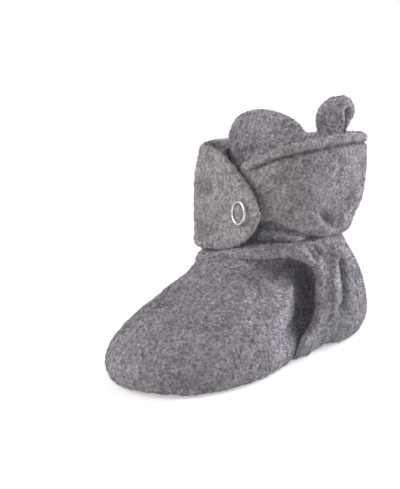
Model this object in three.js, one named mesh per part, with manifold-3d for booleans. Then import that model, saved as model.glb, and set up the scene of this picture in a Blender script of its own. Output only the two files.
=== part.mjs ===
// Soft fleece ankle bootie for a small child, left foot, standing on its sole.
// Millimetres; +X points to the toe, +Y to the wearer's left, +Z up, and the floor is z = 0.
import * as THREE from 'three';
import { mergeVertices } from 'three/addons/utils/BufferGeometryUtils.js';
import Module from 'manifold-3d';

const wasm = await Module();
wasm.setup();

// Driving sizes.
const footLength = 118;
const ballWidth = 63;
const collarHeight = 80;
const wall = 2.6;
const fitGap = 0.3;
const soleThickness = 3.4;
const insoleThickness = 2;
const quarterThickness = 2.4;
const wrapThickness = 3.8;
const tabClearance = 0.7;
const tongueHalfThickness = 2.6;
const ringDiameter = 9.2;
const ringWireRadius = 0.6;
const snapSpot = { at: 1.059, z: 0.718, tiltDegrees: 7 };
const gripCell = 2.7;
const gripPitch = 16.4;
const gripThickness = 0.5;
const gripClusterX = 22;
const around = 48;
const turn = Math.PI * 2;

// Outer sections of the upper, from the sole seam to the rim. A section's plane runs from its back
// point to its front point: x in shares of footLength, z in shares of collarHeight. half is the
// half width in shares of ballWidth, wide the place of the widest point from back to front, and
// waist how far the sides come in at the arch. follow is how much of the sole's lift it takes.
const upperSections = [
  { name: 'seam', backX: -0.374, backZ: 0.017, frontX: 0.513, frontZ: 0.01, half: 0.465, wide: 0.62,
    frontPower: 2.15, backPower: 2.6, waist: 0.15, follow: 1 },
  { name: 'welt', backX: -0.408, backZ: 0.048, frontX: 0.524, frontZ: 0.035, half: 0.48, wide: 0.62,
    frontPower: 2.15, backPower: 2.6, waist: 0.16, follow: 0.9 },
  { name: 'bulge', backX: -0.431, backZ: 0.113, frontX: 0.533, frontZ: 0.098, half: 0.494, wide: 0.61,
    frontPower: 2.1, backPower: 2.6, waist: 0.17, follow: 0.5 },
  { name: 'side', backX: -0.438, backZ: 0.194, frontX: 0.517, frontZ: 0.163, half: 0.483, wide: 0.6,
    frontPower: 2.1, backPower: 2.5, waist: 0.15, follow: 0.2 },
  { name: 'cap', backX: -0.436, backZ: 0.275, frontX: 0.475, frontZ: 0.225, half: 0.449, wide: 0.58,
    frontPower: 2.1, backPower: 2.4, waist: 0.12, follow: 0 },
  { name: 'cap top', backX: -0.421, backZ: 0.344, frontX: 0.408, frontZ: 0.285, half: 0.413, wide: 0.56,
    frontPower: 2.1, backPower: 2.4, waist: 0.09, follow: 0 },
  { name: 'vamp', backX: -0.397, backZ: 0.4, frontX: 0.322, frontZ: 0.342, half: 0.385, wide: 0.54,
    frontPower: 2.1, backPower: 2.4, waist: 0.05, follow: 0 },
  { name: 'instep', backX: -0.369, backZ: 0.45, frontX: 0.225, frontZ: 0.41, half: 0.363, wide: 0.53,
    frontPower: 2.15, backPower: 2.4, waist: 0.02, follow: 0 },
  { name: 'shoulder', backX: -0.347, backZ: 0.49, frontX: 0.141, frontZ: 0.472, half: 0.348, wide: 0.52,
    frontPower: 2.25, backPower: 2.4, waist: 0, follow: 0 },
  { name: 'neck', backX: -0.336, backZ: 0.525, frontX: 0.08, frontZ: 0.525, half: 0.337, wide: 0.52,
    frontPower: 2.4, backPower: 2.4, waist: 0, follow: 0 },
  { name: 'ankle', backX: -0.344, backZ: 0.58, frontX: 0.036, frontZ: 0.593, half: 0.34, wide: 0.52,
    frontPower: 2.5, backPower: 2.4, waist: 0, follow: 0 },
  { name: 'shaft', backX: -0.39, backZ: 0.675, frontX: 0.012, frontZ: 0.682, half: 0.362, wide: 0.52,
    frontPower: 2.6, backPower: 2.4, waist: 0, follow: 0 },
  { name: 'shaft top', backX: -0.42, backZ: 0.8, frontX: 0.003, frontZ: 0.807, half: 0.375, wide: 0.52,
    frontPower: 2.7, backPower: 2.4, waist: 0, follow: 0 },
  { name: 'rim', backX: -0.427, backZ: 0.963, frontX: -0.002, frontZ: 0.963, half: 0.378, wide: 0.52,
    frontPower: 2.7, backPower: 2.4, waist: 0, follow: 0 },
];
const rimRow = upperSections.length - 1;

// Where the sole leaves the floor: toe spring, arch and the rounded-up back edge.
const lifts = {
  toeFrom: 46, toeTo: 66, toeRise: 1.5,
  archFrom: -29, archTo: -11, archRise: 1.3,
  heelFrom: -42, heelTo: -56, heelRise: 1.6,
};

// The sides come in at the arch: the middle and the reach of that waist along the foot.
const waistX = -10;
const waistReach = 16;

// The low rows draw in further under the arch, most at the seam and not at all from this row up.
const lowTuck = { share: 0.26, x: -19, reach: 27, upToRow: 3.4, power: 1.5 };

// Outer sections of the ankle wrap, level planes: z in shares of collarHeight, x in shares of
// footLength, half in shares of ballWidth.
const wrapSections = [
  { name: 'skirt', z: 0.475, backX: -0.339, frontX: 0.119, half: 0.4, frontPower: 3.1, backPower: 2.5 },
  { name: 'hem', z: 0.525, backX: -0.364, frontX: 0.114, half: 0.4, frontPower: 3.2, backPower: 2.5 },
  { name: 'roll', z: 0.575, backX: -0.39, frontX: 0.105, half: 0.403, frontPower: 3.4, backPower: 2.5 },
  { name: 'fold', z: 0.625, backX: -0.412, frontX: 0.098, half: 0.416, frontPower: 3.5, backPower: 2.5 },
  { name: 'cuff', z: 0.7, backX: -0.446, frontX: 0.088, half: 0.429, frontPower: 3.6, backPower: 2.5 },
  { name: 'cuff top', z: 0.85, backX: -0.466, frontX: 0.076, half: 0.441, frontPower: 3.4, backPower: 2.5 },
  { name: 'rim', z: 1, backX: -0.466, frontX: 0.06, half: 0.442, frontPower: 2.7, backPower: 2.5 },
  { name: 'above', z: 1.125, backX: -0.466, frontX: 0.052, half: 0.44, frontPower: 2.5, backPower: 2.5 },
];

// Edges of the wrap along its spiral: at is the angle in turns from the toe, by the wearer's left.
// low and high are its bottom and top edge in shares of collarHeight; in is how far it lies
// inside the outer form, in shares of one wrap layer.
const wrapEdges = [
  { at: 0.02, low: 0.655, high: 0.93, in: 1 },
  { at: 0.045, low: 0.66, high: 0.945, in: 1 },
  { at: 0.07, low: 0.668, high: 0.963, in: 1 },
  { at: 0.1, low: 0.673, high: 0.983, in: 1 },
  { at: 0.13, low: 0.668, high: 1, in: 0.94 },
  { at: 0.16, low: 0.64, high: 1.012, in: 0.74 },
  { at: 0.19, low: 0.611, high: 1.02, in: 0.5 },
  { at: 0.22, low: 0.582, high: 1.024, in: 0.3 },
  { at: 0.25, low: 0.562, high: 1.028, in: 0.15 },
  { at: 0.29, low: 0.556, high: 1.026, in: 0.04 },
  { at: 0.32, low: 0.552, high: 1.022, in: 0 },
  { at: 0.36, low: 0.545, high: 1.012, in: 0 },
  { at: 0.4, low: 0.537, high: 1.005, in: 0 },
  { at: 0.5, low: 0.535, high: 0.995, in: 0 },
  { at: 0.6, low: 0.535, high: 0.988, in: 0 },
  { at: 0.7, low: 0.535, high: 0.995, in: 0 },
  { at: 0.8, low: 0.532, high: 1.005, in: 0 },
  { at: 0.88, low: 0.525, high: 1.007, in: 0 },
  { at: 0.93, low: 0.525, high: 1.002, in: 0 },
  { at: 0.968, low: 0.53, high: 0.985, in: 0 },
  { at: 1.012, low: 0.537, high: 0.93, in: -0.02 },
  { at: 1.046, low: 0.557, high: 0.878, in: -0.12 },
  { at: 1.075, low: 0.593, high: 0.823, in: -0.32 },
  { at: 1.092, low: 0.637, high: 0.762, in: -0.48 },
  { at: 1.099, low: 0.68, high: 0.72, in: -0.54 },
];
const wrapColumns = 58;
const wrapRows = 5;

// The window of the quarter, seen from the side: the arch edge from below the sole up to the
// band over the instep and forward. x in shares of footLength, z in shares of collarHeight.
const archEdge = [
  { x: 0.006, z: -0.075 },
  { x: 0.008, z: 0.013 },
  { x: 0.01, z: 0.069 },
  { x: -0.01, z: 0.12 },
  { x: -0.054, z: 0.158 },
  { x: -0.088, z: 0.22 },
  { x: -0.107, z: 0.293 },
  { x: -0.115, z: 0.348 },
  { x: -0.112, z: 0.388 },
  { x: -0.096, z: 0.428 },
  { x: -0.062, z: 0.465 },
  { x: -0.012, z: 0.4925 },
  { x: 0.066, z: 0.498 },
  { x: 0.12, z: 0.501 },
  { x: 0.147, z: 0.515 },
  { x: 0.178, z: 0.56 },
  { x: 0.542, z: 0.875 },
];
// The quarter runs from the first whole row of the upper up to these rows, by turns from the toe.
const quarterTop = [
  { at: 0, row: 8.95 },
  { at: 0.03, row: 9 },
  { at: 0.1, row: 9.5 },
  { at: 0.2, row: 9.57 },
  { at: 0.3, row: 9.55 },
  { at: 0.36, row: 9.25 },
  { at: 0.44, row: 8.95 },
  { at: 0.6, row: 8.9 },
  { at: 0.85, row: 8.8 },
  { at: 0.95, row: 8.75 },
  { at: 1, row: 8.95 },
];
// The wrap is cut clear of the quarter and of the shaft from these rows up.
const clearQuarterRow = 4;
const clearAboveQuarter = 0.08;
const clearShaftRow = 7;

// The throat: the notch in the front of the shaft that the tongue stands behind.
const throat = { half: 13, floor: 51, round: 9, top: collarHeight * 1.2, backX: -12, depth: 40 };

// The dip of the upper along the arch edge: its depth, how far inside the window its middle runs,
// its reach to either side, and the heights between which it fades out above the sole.
const archTrough = { depth: 4.2, ahead: 2.5, reach: 6.5, fadeFrom: 5, fadeTo: 15 };

// Sections of the tongue from its foot up to its dome: x and z of the middle, half width across.
const tongueSections = [
  { x: -0.029, z: 0.581, half: 0.206 },
  { x: -0.036, z: 0.637, half: 0.246 },
  { x: -0.054, z: 0.762, half: 0.284 },
  { x: -0.075, z: 0.875, half: 0.303 },
  { x: -0.092, z: 0.963, half: 0.312 },
  { x: -0.102, z: 1.03, half: 0.325 },
  { x: -0.108, z: 1.085, half: 0.276 },
  { x: -0.112, z: 1.126, half: 0.2 },
  { x: -0.114, z: 1.149, half: 0.106 },
  { x: -0.1145, z: 1.156, half: 0.03 },
];
const tongueBend = 100;
const tongueLean = { sideways: -1, from: 0.94, to: 1.06 };

// The pull loop at the back of the rim: a folded strip with a round head. Across its width, y is
// in shares of the width and head its height there in shares of the full height.
const loopSize = {
  width: 13.8, height: 13.4, radius: 5.3, wall: 4.2, slit: 0.25, seat: 2.5, baseZ: collarHeight + 0.5,
  middleX: -0.438 * footLength, middleY: 2,
};
const loopSections = [
  { y: -0.5, head: 0.7 },
  { y: -0.4, head: 0.82 },
  { y: -0.24, head: 0.92 },
  { y: 0, head: 0.99 },
  { y: 0.25, head: 1.01 },
  { y: 0.4, head: 0.98 },
  { y: 0.5, head: 0.93 },
];

const fleece = 0x9a969c;
const charcoal = 0x56545a;
const printGrey = 0xb2b0ae;
const metal = 0xd8d5cf;

function blend(rows, at, column) {
  const last = rows.length - 1;
  const position = Math.min(Math.max(at, 0), last);
  const index = Math.min(Math.floor(position), last - 1);
  const share = position - index;
  const before = rows[Math.max(index - 1, 0)][column];
  const here = rows[index][column];
  const next = rows[index + 1][column];
  const after = rows[Math.min(index + 2, last)][column];
  const slopeHere = (next - before) / 2;
  const slopeNext = (after - here) / 2;
  const square = share * share;
  const cube = square * share;
  return here * (2 * cube - 3 * square + 1) + slopeHere * (cube - 2 * square + share)
    + next * (3 * square - 2 * cube) + slopeNext * (cube - square);
}

function along(rows, key, value, column) {
  let index = 0;
  while (index < rows.length - 2 && value > rows[index + 1][key]) index += 1;
  const start = rows[index][key];
  const share = (value - start) / (rows[index + 1][key] - start);
  return blend(rows, index + Math.min(Math.max(share, 0), 1), column);
}

function ease(value, from, to) {
  const share = Math.min(Math.max((value - from) / (to - from), 0), 1);
  return share * share * (3 - 2 * share);
}

function soleLift(x) {
  const arch = ease(x, lifts.archFrom, (lifts.archFrom + lifts.archTo) / 2)
    * (1 - ease(x, (lifts.archFrom + lifts.archTo) / 2, lifts.archTo));
  return lifts.toeRise * ease(x, lifts.toeFrom, lifts.toeTo) + lifts.archRise * arch
    + lifts.heelRise * ease(-x, -lifts.heelFrom, -lifts.heelTo);
}

function ovalPoint(angle, frontPower, backPower) {
  const across = Math.sin(angle);
  const ahead = Math.cos(angle);
  const power = ahead >= 0 ? frontPower : backPower;
  const reach = (Math.abs(ahead) ** power + Math.abs(across) ** power) ** (-1 / power);
  return { ahead: ahead * reach, across: across * reach };
}

function upperPoint(row, angle) {
  const pick = (column) => blend(upperSections, row, column);
  const back = pick('backX') * footLength;
  const front = pick('frontX') * footLength;
  const wide = pick('wide');
  const oval = ovalPoint(angle, pick('frontPower'), pick('backPower'));
  const share = oval.ahead >= 0 ? wide + (1 - wide) * oval.ahead : wide * (1 + oval.ahead);
  const x = back + (front - back) * share;
  const narrowing = pick('waist') * Math.exp(-(((x - waistX) / waistReach) ** 2));
  const low = Math.max(1 - row / lowTuck.upToRow, 0) ** lowTuck.power;
  const drawnIn = lowTuck.share * low * Math.exp(-(((x - lowTuck.x) / lowTuck.reach) ** 2));
  const y = pick('half') * ballWidth * oval.across * (1 - narrowing) * (1 - drawnIn);
  const level = (pick('backZ') * (1 - share) + pick('frontZ') * share) * collarHeight;
  return new THREE.Vector3(x, y, level + pick('follow') * soleLift(x));
}

const archPolygon = new THREE.SplineCurve(
  archEdge.map((edge) => new THREE.Vector2(edge.x * footLength, edge.z * collarHeight)),
).getPoints(40);

function archTroughAt(x, z) {
  let nearest = Infinity;
  for (const corner of archPolygon) {
    const distance = Math.hypot(x - corner.x, z - corner.y);
    nearest = Math.min(nearest, distance);
  }
  let crossings = 0;
  for (let i = 0; i + 1 < archPolygon.length; i += 1) {
    const low = archPolygon[i];
    const high = archPolygon[i + 1];
    if (low.y <= z && z < high.y && x > low.x) crossings += 1;
  }
  const signed = crossings > 0 && z < archPolygon[archPolygon.length - 1].y ? nearest : -nearest;
  const away = (signed - archTrough.ahead) / archTrough.reach;
  return archTrough.depth * Math.exp(-away * away) * ease(z, archTrough.fadeFrom, archTrough.fadeTo);
}

function upperOffset(row, angle, offset, troughed) {
  const step = 0.02;
  const point = upperPoint(row, angle);
  const above = upperPoint(Math.min(row + step, rimRow), angle);
  const rise = above.sub(upperPoint(Math.max(row - step, 0), angle));
  const run = upperPoint(row, angle + step).sub(upperPoint(row, angle - step));
  const normal = run.cross(rise).normalize();
  const sides = Math.abs(normal.y) ** 1.5;
  const trough = troughed ? archTroughAt(point.x, point.z) * sides : 0;
  return point.addScaledVector(normal, offset - trough);
}

function solidFrom(positions, triangles) {
  const geometry = new THREE.BufferGeometry();
  geometry.setAttribute('position', new THREE.Float32BufferAttribute(positions.flat(), 3));
  geometry.setIndex(triangles.flat());
  return geometry;
}

function toManifold(geometry) {
  const bare = geometry.clone();
  bare.deleteAttribute('normal');
  bare.deleteAttribute('uv');
  const merged = mergeVertices(bare, 1e-4);
  return new wasm.Manifold(new wasm.Mesh({
    numProp: 3,
    vertProperties: new Float32Array(merged.attributes.position.array),
    triVerts: new Uint32Array(merged.index.array),
  }));
}

function toGeometry(solid) {
  const mesh = solid.getMesh();
  const geometry = new THREE.BufferGeometry();
  geometry.setAttribute('position', new THREE.BufferAttribute(mesh.vertProperties.slice(), 3));
  geometry.setIndex(new THREE.BufferAttribute(mesh.triVerts.slice(), 1));
  return geometry;
}

// Rings of points stacked into a closed body, with a fan at each end, or end to end as a double
// wall. The way back of a double wall splits its quads on the same diagonals as the way out.
function stackRings(rings, meetsItself) {
  const positions = [];
  const triangles = [];
  const count = rings[0].length;
  for (const ring of rings) {
    for (const point of ring) positions.push([point.x, point.y, point.z]);
  }
  const total = rings.length;
  const bands = meetsItself ? total : total - 1;
  for (let r = 0; r < bands; r += 1) {
    const next = (r + 1) % total;
    for (let i = 0; i < count; i += 1) {
      const j = (i + 1) % count;
      const a = r * count + i;
      const b = r * count + j;
      const c = next * count + i;
      const d = next * count + j;
      if (meetsItself && r * 2 >= total) triangles.push([a, b, c], [b, d, c]);
      else triangles.push([a, b, d], [a, d, c]);
    }
  }
  if (!meetsItself) {
    const middle = (ring) => ring.reduce((sum, point) => sum.add(point), new THREE.Vector3())
      .divideScalar(ring.length);
    const first = middle(rings[0]);
    const last = middle(rings[total - 1]);
    positions.push([first.x, first.y, first.z], [last.x, last.y, last.z]);
    const firstIndex = total * count;
    const lastIndex = firstIndex + 1;
    for (let i = 0; i < count; i += 1) {
      const j = (i + 1) % count;
      triangles.push([firstIndex, j, i]);
      const base = (total - 1) * count;
      triangles.push([lastIndex, base + i, base + j]);
    }
  }
  return solidFrom(positions, triangles);
}

function upperRing(row, offset, troughed) {
  const ring = [];
  for (let i = 0; i < around; i += 1) {
    ring.push(upperOffset(row, (i / around) * turn, offset, troughed));
  }
  return ring;
}

// A ring that stands a share of the way from one row up to the quarter's top edge.
function quarterRing(fromRow, share, above, offset) {
  const ring = [];
  for (let i = 0; i < around; i += 1) {
    const top = along(quarterTop, 'at', i / around, 'row') + above;
    ring.push(upperOffset(fromRow + (top - fromRow) * share, (i / around) * turn, offset, false));
  }
  return ring;
}

function rowsBetween(from, to, count) {
  return Array.from({ length: count + 1 }, (_, i) => from + ((to - from) * i) / count);
}

function prismAlongY(outline, halfDepth) {
  const shape = new THREE.Shape(outline.map((corner) => new THREE.Vector2(corner.x, corner.y)));
  const geometry = new THREE.ExtrudeGeometry(shape, { depth: halfDepth * 2, bevelEnabled: false });
  geometry.rotateX(Math.PI / 2);
  geometry.translate(0, halfDepth, 0);
  return toManifold(geometry);
}

const upperRows = [0, 0.5, ...rowsBetween(1, rimRow, 16)];

function buildUpper() {
  const outer = upperRows.map((row) => upperRing(row, 0, true));
  const inner = upperRows.map((row) => upperRing(row, -wall, true)).reverse();
  const shell = toManifold(stackRings([...outer, ...inner], true));
  const { half, floor, round, top, backX, depth } = throat;
  const shape = new THREE.Shape();
  shape.moveTo(-half, top);
  shape.lineTo(-half, floor + round);
  shape.quadraticCurveTo(-half, floor, 0, floor);
  shape.quadraticCurveTo(half, floor, half, floor + round);
  shape.lineTo(half, top);
  const cutter = new THREE.ExtrudeGeometry(shape, { depth, bevelEnabled: false, curveSegments: 8 });
  cutter.rotateX(Math.PI / 2);
  cutter.rotateZ(Math.PI / 2);
  cutter.translate(backX, 0, 0);
  return toGeometry(shell.subtract(toManifold(cutter)));
}

function plate(outline, baseZ, topZ, edgeRound) {
  const centreX = -2;
  const shrink = (share) => outline.map((point) => ({
    x: centreX + (point.x - centreX) * share,
    y: point.y * share,
  }));
  const level = (points, height) => points.map(
    (point) => new THREE.Vector3(point.x, point.y, soleLift(point.x) + height),
  );
  const inset = 0.95;
  const middles = [0.78, 0.5, 0.2];
  return stackRings([
    ...[...middles].reverse().map((share) => level(shrink(share), baseZ)),
    level(shrink(inset), baseZ),
    level(outline, baseZ + edgeRound),
    level(outline, topZ),
    ...middles.map((share) => level(shrink(share), topZ)),
  ], false);
}

function outlineInside(row, offset) {
  return upperRing(row, offset, true).map((point) => ({ x: point.x, y: point.y }));
}

function gripOutline(grow) {
  const shape = new THREE.Shape();
  const steps = [
    [-0.5, -2.5], [0.5, -2.5], [0.5, -1.5], [1.5, -1.5], [1.5, -0.5], [2.5, -0.5],
    [2.5, 0.5], [1.5, 0.5], [1.5, 1.5], [0.5, 1.5], [0.5, 2.5], [-0.5, 2.5],
    [-0.5, 1.5], [-1.5, 1.5], [-1.5, 0.5], [-2.5, 0.5], [-2.5, -0.5], [-1.5, -0.5],
    [-1.5, -1.5], [-0.5, -1.5],
  ];
  const place = (share) => share * gripCell + Math.sign(share) * grow;
  steps.forEach(([x, y], index) => {
    if (index === 0) shape.moveTo(place(x), place(y));
    else shape.lineTo(place(x), place(y));
  });
  return shape;
}

const gripSpots = [
  { along: 1, across: 0 },
  { along: 0.5, across: 0.87 },
  { along: 0.5, across: -0.87 },
  { along: 0, across: 0 },
  { along: -0.5, across: 0.87 },
  { along: -0.5, across: -0.87 },
];

function gripSolid(spot, grow, height) {
  const settings = { depth: height, bevelEnabled: false };
  const body = toManifold(new THREE.ExtrudeGeometry(gripOutline(grow), settings));
  const hole = gripCell - grow * 2;
  return body.subtract(wasm.Manifold.cube([hole, hole, height * 4], true))
    .translate([gripClusterX + spot.along * gripPitch, spot.across * gripPitch, 0]);
}

function buildSole() {
  const outline = outlineInside(0, -(wall + fitGap));
  let sole = toManifold(plate(outline, 0, soleThickness, 1));
  for (const spot of gripSpots) {
    const pocket = gripSolid(spot, fitGap, gripThickness + fitGap + 1);
    sole = sole.subtract(pocket.translate([0, 0, -1]));
  }
  return toGeometry(sole);
}

function buildInsole() {
  const outline = outlineInside(0.5, -(wall + fitGap * 3));
  const base = soleThickness + fitGap * 2;
  return plate(outline, base, base + insoleThickness, 0.4);
}

function buildQuarter() {
  const lowestTop = Math.min(...quarterTop.map((top) => top.row));
  const rows = upperRows.filter((row) => row >= 1 && row < lowestTop);
  const ringsAt = (offset) => [
    ...rows.map((row) => upperRing(row, offset, false)),
    quarterRing(rows[rows.length - 1], 1, 0, offset),
  ];
  const outer = ringsAt(fitGap + quarterThickness);
  const inner = ringsAt(fitGap).reverse();
  const shell = toManifold(stackRings([...outer, ...inner], true));
  const reach = footLength;
  const window = [
    ...archPolygon.map((corner) => ({ x: corner.x, y: corner.y })),
    { x: reach, y: archPolygon[archPolygon.length - 1].y },
    { x: reach, y: archPolygon[0].y },
  ];
  return toGeometry(shell.subtract(prismAlongY(window, ballWidth)));
}

function wrapPoint(angle, z, inward) {
  const pick = (column) => along(wrapSections, 'z', z / collarHeight, column);
  const back = pick('backX') * footLength;
  const front = pick('frontX') * footLength;
  const oval = ovalPoint(angle, pick('frontPower'), pick('backPower'));
  const half = pick('half') * ballWidth;
  const halfLength = (front - back) / 2;
  const x = (front + back) / 2 + halfLength * oval.ahead;
  const y = half * oval.across;
  const power = oval.ahead >= 0 ? pick('frontPower') : pick('backPower');
  const lean = (share) => Math.sign(share) * Math.abs(share) ** (power - 1);
  const normal = new THREE.Vector2(lean(oval.ahead) / halfLength, lean(oval.across) / half).normalize();
  return new THREE.Vector3(x - normal.x * inward, y - normal.y * inward, z);
}

// A point of the flap's outer face, which follows the spiral inwards or stands off it.
function flapPoint(at, z) {
  const inward = along(wrapEdges, 'at', at, 'in') * (wrapThickness + tabClearance);
  return wrapPoint(at * turn, z, inward);
}

function wrapRingAt(at) {
  const pick = (column) => along(wrapEdges, 'at', at, column);
  const low = pick('low') * collarHeight;
  const high = pick('high') * collarHeight;
  const inward = pick('in') * (wrapThickness + tabClearance);
  const angle = at * turn;
  const ring = [];
  for (let i = 0; i <= wrapRows; i += 1) {
    ring.push(wrapPoint(angle, low + ((high - low) * i) / wrapRows, inward));
  }
  for (let i = wrapRows; i >= 0; i -= 1) {
    ring.push(wrapPoint(angle, low + ((high - low) * i) / wrapRows, inward + wrapThickness));
  }
  return ring;
}

function buildWrap() {
  const first = wrapEdges[0].at;
  const last = wrapEdges[wrapEdges.length - 1].at;
  const rings = [];
  for (let i = 0; i <= wrapColumns; i += 1) {
    rings.push(wrapRingAt(first + ((last - first) * i) / wrapColumns).reverse());
  }
  const body = toManifold(stackRings(rings, false));
  const keepOut = rowsBetween(0, 1, 6).map(
    (share) => quarterRing(clearQuarterRow, share, clearAboveQuarter, quarterThickness + fitGap * 2),
  );
  const shaft = rowsBetween(clearShaftRow, rimRow, 8).map((row) => upperRing(row, fitGap, false));
  shaft.push(upperRing(rimRow, fitGap, false).map((point) => point.setZ(point.z + 1)));
  const cut = toManifold(stackRings(keepOut, false)).add(toManifold(stackRings(shaft, false)));
  return toGeometry(body.subtract(cut));
}

function buildTongue() {
  const rings = [];
  const sides = 20;
  const rows = rowsBetween(0, tongueSections.length - 1, 12);
  for (const row of rows) {
    const x = blend(tongueSections, row, 'x') * footLength;
    const z = blend(tongueSections, row, 'z') * collarHeight;
    const half = blend(tongueSections, row, 'half') * ballWidth;
    const lean = tongueLean.sideways * ease(z / collarHeight, tongueLean.from, tongueLean.to);
    const ring = [];
    for (let i = 0; i < sides; i += 1) {
      const angle = (i / sides) * turn;
      const oval = ovalPoint(angle, 2.4, 2.4);
      const y = half * oval.across;
      const depth = tongueHalfThickness * oval.ahead - (y * y) / tongueBend;
      ring.push(new THREE.Vector3(x + depth, y + lean, z));
    }
    rings.push(ring);
  }
  return stackRings(rings, false);
}

function loopProfile(baseZ, headZ, headRadius, legHalf, middleX) {
  const points = [];
  const steps = 14;
  for (let i = 0; i <= steps; i += 1) {
    const angle = -Math.PI / 6 + (i / steps) * ((Math.PI * 4) / 3);
    points.push([middleX + headRadius * Math.cos(angle), headZ + headRadius * Math.sin(angle)]);
  }
  points.push([middleX - legHalf, baseZ], [middleX + legHalf, baseZ]);
  return points.reverse();
}

function buildPullLoop() {
  const stations = rowsBetween(0, loopSections.length - 1, 6);
  const outer = [];
  const inner = [];
  for (const station of stations) {
    const y = loopSize.middleY + blend(loopSections, station, 'y') * loopSize.width;
    const head = loopSize.baseZ + loopSize.height * blend(loopSections, station, 'head');
    const ring = (points) => points.map(([x, z]) => new THREE.Vector3(x, y, z));
    const hole = loopSize.radius - loopSize.wall;
    const headZ = head - loopSize.radius;
    const innerBase = loopSize.baseZ + loopSize.seat;
    const legHalf = loopSize.wall + loopSize.slit;
    outer.push(ring(loopProfile(loopSize.baseZ, headZ, loopSize.radius, legHalf, loopSize.middleX)));
    inner.push(ring(loopProfile(innerBase, headZ, hole, loopSize.slit, loopSize.middleX)));
  }
  return stackRings([...outer, ...inner.reverse()], true);
}

function buildSnapRing() {
  const geometry = new THREE.TorusGeometry(ringDiameter / 2 - ringWireRadius, ringWireRadius, 6, 24);
  geometry.deleteAttribute('uv');
  geometry.deleteAttribute('normal');
  const merged = mergeVertices(geometry, 1e-4);
  const { at } = snapSpot;
  const z = snapSpot.z * collarHeight;
  const step = { at: 0.012, z: 1 };
  const across = flapPoint(at + step.at, z).sub(flapPoint(at - step.at, z)).normalize();
  const rise = flapPoint(at, z + step.z).sub(flapPoint(at, z - step.z)).normalize();
  const normal = across.cross(rise).normalize();
  const seat = flapPoint(at, z).addScaledVector(normal, ringWireRadius + fitGap * 2);
  normal.applyAxisAngle(rise, -THREE.MathUtils.degToRad(snapSpot.tiltDegrees));
  merged.applyQuaternion(new THREE.Quaternion().setFromUnitVectors(new THREE.Vector3(0, 0, 1), normal));
  merged.translate(seat.x, seat.y, seat.z);
  return merged;
}

const root = new THREE.Group();
root.name = 'fleece_bootie';

function addPart(name, geometry, colour, roughness, metalness = 0) {
  const material = new THREE.MeshStandardMaterial({ color: colour, roughness, metalness });
  material.name = `${name}_material`;
  geometry.computeVertexNormals();
  const mesh = new THREE.Mesh(geometry, material);
  mesh.name = name;
  root.add(mesh);
}

addPart('upper', buildUpper(), fleece, 0.95);
addPart('sole', buildSole(), charcoal, 0.95);
addPart('insole', buildInsole(), fleece, 0.95);
addPart('quarter', buildQuarter(), fleece, 0.95);
addPart('ankle_wrap', buildWrap(), fleece, 0.95);
addPart('tongue', buildTongue(), fleece, 0.95);
addPart('pull_loop', buildPullLoop(), fleece, 0.95);
addPart('snap_ring', buildSnapRing(), metal, 0.3, 1);
gripSpots.forEach((spot, index) => {
  addPart(`grip_${index + 1}`, toGeometry(gripSolid(spot, 0, gripThickness)), printGrey, 0.7);
});

export default root;
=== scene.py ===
import math

import bpy
import numpy as np
from mathutils import Matrix, Vector


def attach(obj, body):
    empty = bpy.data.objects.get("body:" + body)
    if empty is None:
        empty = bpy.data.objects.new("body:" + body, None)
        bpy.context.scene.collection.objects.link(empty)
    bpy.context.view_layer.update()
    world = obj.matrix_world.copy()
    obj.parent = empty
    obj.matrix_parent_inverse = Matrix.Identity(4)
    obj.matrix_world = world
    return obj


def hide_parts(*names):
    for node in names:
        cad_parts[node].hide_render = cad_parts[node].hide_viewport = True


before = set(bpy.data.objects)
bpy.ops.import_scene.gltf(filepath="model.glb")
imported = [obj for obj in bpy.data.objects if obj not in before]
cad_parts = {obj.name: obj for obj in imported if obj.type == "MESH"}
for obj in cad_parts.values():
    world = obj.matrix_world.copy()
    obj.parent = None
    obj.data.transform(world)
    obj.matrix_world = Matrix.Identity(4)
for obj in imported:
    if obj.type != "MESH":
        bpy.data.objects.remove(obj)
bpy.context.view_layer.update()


print("frame loaded")

# the shoe's own sizes, in millimetres, as in the part's source
shoe = {"length": 118, "width": 63, "height": 80, "wall": 2.6, "gap": 0.3}
shares = np.array([shoe["length"], shoe["width"], shoe["height"]], float)
turn = math.tau
toMetres = 0.001

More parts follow.
